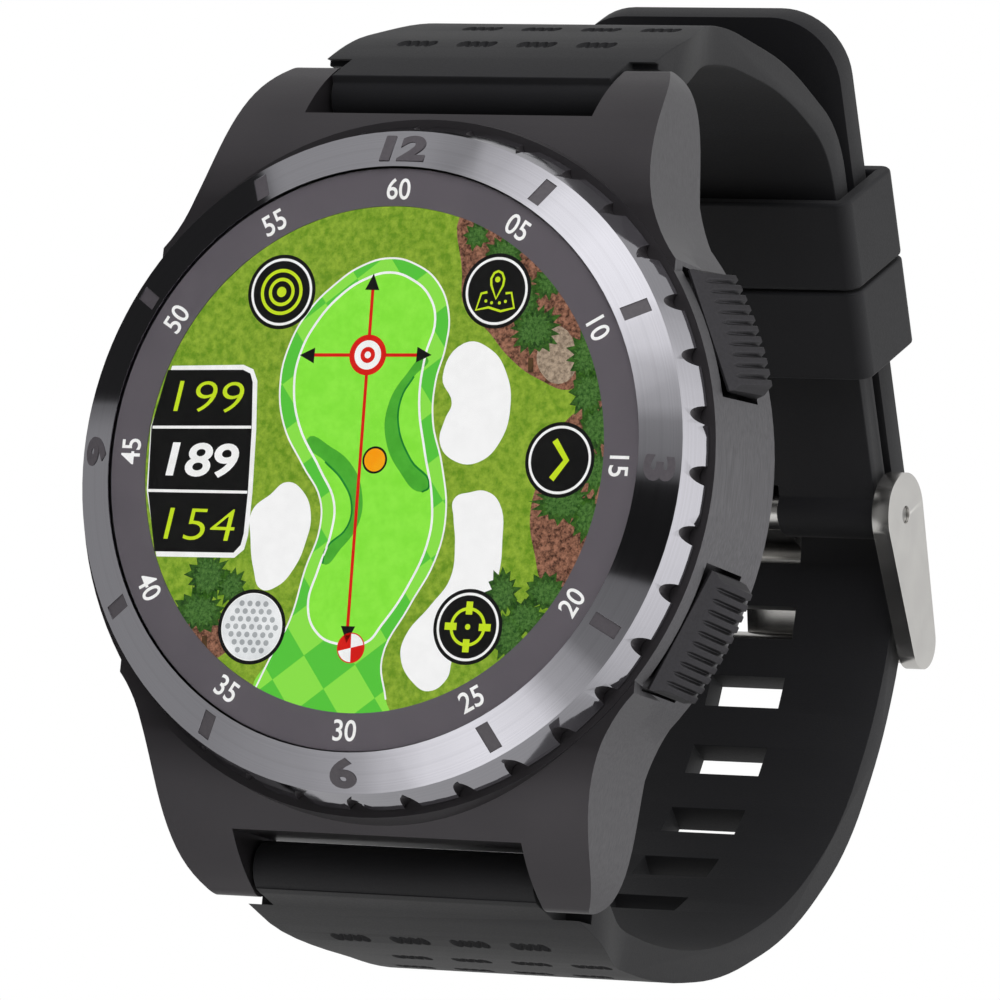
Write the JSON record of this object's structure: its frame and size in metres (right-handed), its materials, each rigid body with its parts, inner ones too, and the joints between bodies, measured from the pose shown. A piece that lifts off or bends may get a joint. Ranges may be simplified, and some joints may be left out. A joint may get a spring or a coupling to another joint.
{
  "type": "golf watch",
  "caption": "Round golf watch with a notched bezel, colour course display, two pushers and a silicone strap closed through a pin buckle.",
  "frame": {"origin": "centre of the case back's flat face", "axes": "+Z towards 12 o'clock, +X towards 3 o'clock, the dial faces -Y and the wrist is on the +Y side"},
  "size_m": [0.0508, 0.0704, 0.0732],
  "materials": {
    "bezel_metal": "satin gunmetal",
    "marker_enamel": "matt dark grey fill",
    "cover_glass": "clear polished",
    "ring_print": "satin black print",
    "seal_rubber": "matt",
    "display_panel": "lit panel",
    "moulded_plastic": "moulded",
    "case_metal": "satin black",
    "back_metal": "brushed black",
    "button_metal": "satin black",
    "polished_steel": "polished",
    "gold_plate": "plated",
    "spring_steel": "drawn",
    "circuit_board": "solder mask",
    "ceramic": "fired ceramic",
    "cell_foil": "foil",
    "silicone": "matt silicone"
  },
  "bodies": {
    "root": {"bezel_ring": "bezel_metal", "hour_markers": "marker_enamel", "glass_lens": "cover_glass", "minute_ring": "ring_print", "lens_gasket": "seal_rubber", "display_module": "display_panel", "display_bracket": "moulded_plastic", "case_body": "case_metal", "case_back": "back_metal", "back_screws": "polished_steel", "charging_pins": "gold_plate", "back_gasket": "seal_rubber", "upper_button_seal": "seal_rubber", "upper_button_spring": "spring_steel", "upper_button_switch": "moulded_plastic", "lower_button_seal": "seal_rubber", "lower_button_spring": "spring_steel", "lower_button_switch": "moulded_plastic", "main_board": "circuit_board", "gps_antenna": "ceramic", "battery": "cell_foil", "vibration_motor": "spring_steel", "beeper": "gold_plate", "spring_bar_upper": "polished_steel", "spring_bar_lower": "polished_steel", "strap_long": "silicone", "strap_short": "silicone", "buckle_spring_bar": "polished_steel"},
    "upper_button": {"upper_button": "button_metal", "upper_button_clip": "spring_steel"},
    "lower_button": {"lower_button": "button_metal", "lower_button_clip": "spring_steel"},
    "keeper_upper": {"keeper_upper": "silicone"},
    "keeper_lower": {"keeper_lower": "silicone"},
    "buckle_frame": {"buckle_frame": "polished_steel"},
    "buckle_tang": {"buckle_tang": "polished_steel"}
  },
  "joints": [
    {"name": "upper_button_press", "type": "slide", "parent": "root", "child": "upper_button", "axis": [-0.9063, 0, -0.4226], "range_m": [0, 0.0009], "stiffness_N_per_m": 900, "springref_m": -0.0004},
    {"name": "lower_button_press", "type": "slide", "parent": "root", "child": "lower_button", "axis": [-0.9063, 0, 0.4226], "range_m": [0, 0.0009], "stiffness_N_per_m": 900, "springref_m": -0.0004},
    {"name": "keeper_upper_slide", "type": "slide", "parent": "root", "child": "keeper_upper", "axis": [0, -0.5, 0.866], "range_m": [0, 0.0015]},
    {"name": "keeper_lower_slide", "type": "slide", "parent": "root", "child": "keeper_lower", "axis": [0, 0.5, -0.866], "range_m": [0, 0.006]},
    {"name": "buckle_frame_hinge", "type": "hinge", "parent": "root", "child": "buckle_frame", "pos_m": [0, 0.04685, 0.00626], "axis": [1, 0, 0], "range_deg": [0, 5]},
    {"name": "buckle_tang_hinge", "type": "hinge", "parent": "buckle_frame", "child": "buckle_tang", "pos_m": [0, 0.04685, 0.00626], "axis": [1, 0, 0], "range_deg": [0, 2]}
  ]
}
